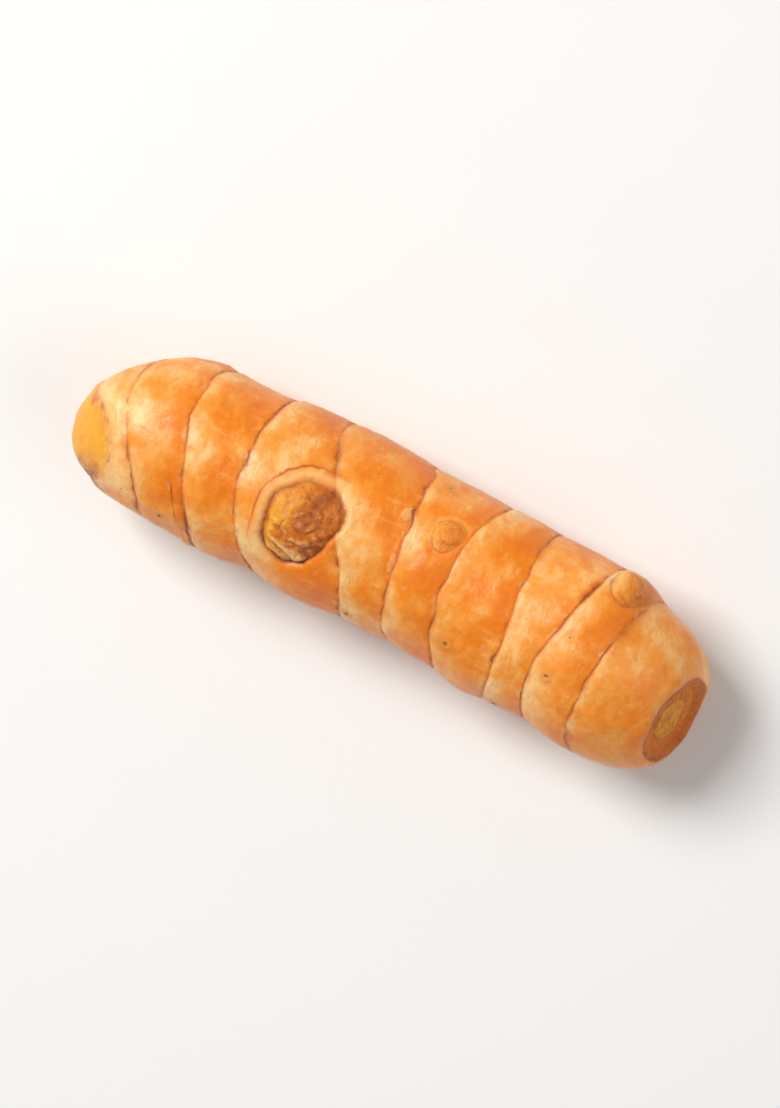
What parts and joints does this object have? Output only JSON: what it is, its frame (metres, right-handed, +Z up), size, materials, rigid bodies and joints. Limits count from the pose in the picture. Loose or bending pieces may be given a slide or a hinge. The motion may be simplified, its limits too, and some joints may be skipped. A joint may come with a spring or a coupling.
{
  "type": "turmeric root",
  "caption": "Fresh turmeric finger lying on its belly: a bent, ringed rhizome with a blunt growing tip, round shoot scars and a snapped base.",
  "frame": {"origin": "on the resting plane, under the centre of the bounding box", "axes": "+X runs from the growing tip to the snapped base, the finger's long way; +Z is up, with the large shoot scar on top"},
  "size_m": [0.0746, 0.0226, 0.0192],
  "materials": {
    "turmeric_skin": "thin papery skin, semi-matte, orange with paler bands"
  },
  "bodies": {
    "root": {"turmeric_root": "turmeric_skin"}
  },
  "joints": []
}
